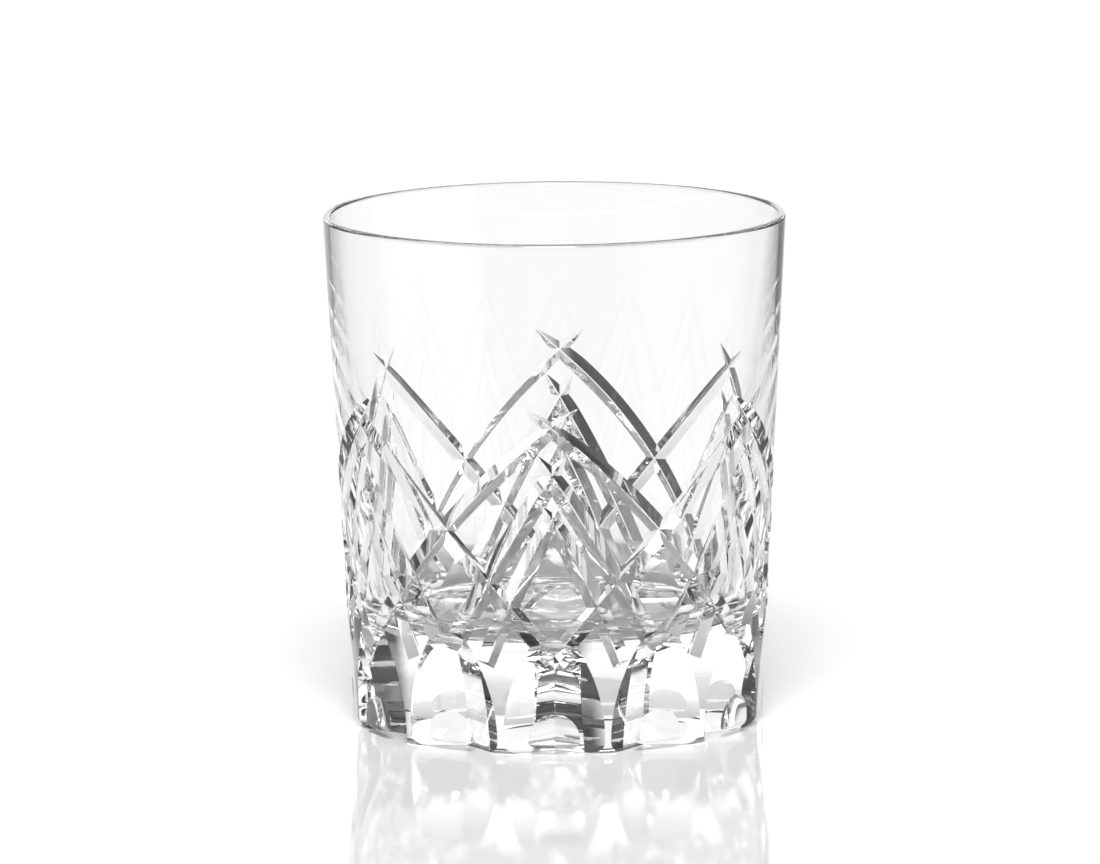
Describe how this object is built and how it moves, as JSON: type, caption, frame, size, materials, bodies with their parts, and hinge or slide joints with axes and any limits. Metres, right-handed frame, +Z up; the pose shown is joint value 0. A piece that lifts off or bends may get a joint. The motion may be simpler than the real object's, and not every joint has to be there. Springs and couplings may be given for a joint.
{
  "type": "whiskey tumbler",
  "caption": "Cut-crystal old-fashioned glass with tapered clear wall, nested pointed arches of V-cuts, vertical foot flutes and a thick solid base.",
  "frame": {"origin": "centre of the base, on the plane that the glass stands on", "axes": "+Z up along the glass's axis, -Y towards the front of the cut pattern"},
  "size_m": [0.084, 0.084, 0.093],
  "materials": {
    "crystal": "polished clear crystal"
  },
  "bodies": {
    "root": {"tumbler": "crystal"}
  },
  "joints": []
}
